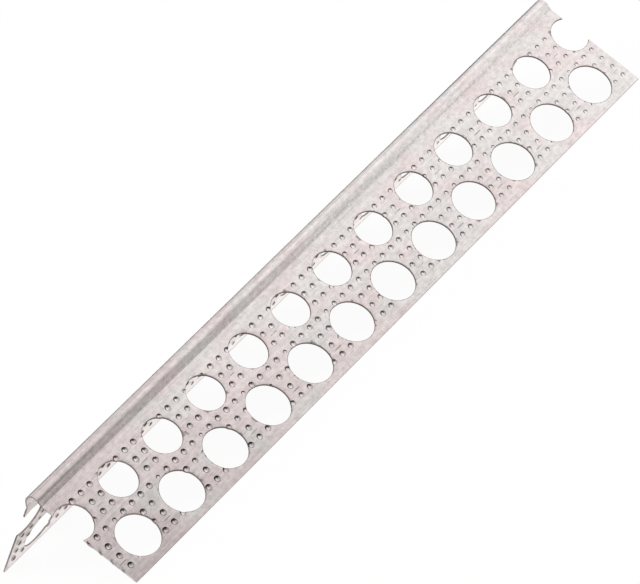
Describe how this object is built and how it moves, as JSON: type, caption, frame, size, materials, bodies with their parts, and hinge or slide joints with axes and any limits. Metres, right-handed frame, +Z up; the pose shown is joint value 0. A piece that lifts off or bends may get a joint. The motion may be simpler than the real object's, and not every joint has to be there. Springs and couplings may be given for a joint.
{
  "type": "perforated corner bead",
  "caption": "Thin sheet angle with a hollow round nose and two flat wings, each with two staggered rows of round holes, to guard and key plaster at an outside corner.",
  "frame": {"origin": "on the floor, midway along the bead and midway between its two free edges, below the nose", "axes": "+X along the length from the picture's near end to its far end, +Z up through the nose, and the wing that faces the picture's camera on the -Y side"},
  "size_m": [0.1306, 0.0268, 0.0145],
  "materials": {
    "sheet": "mill finish, fine lines along the rolling direction, satin"
  },
  "bodies": {
    "root": {"corner_bead": "sheet"}
  },
  "joints": []
}
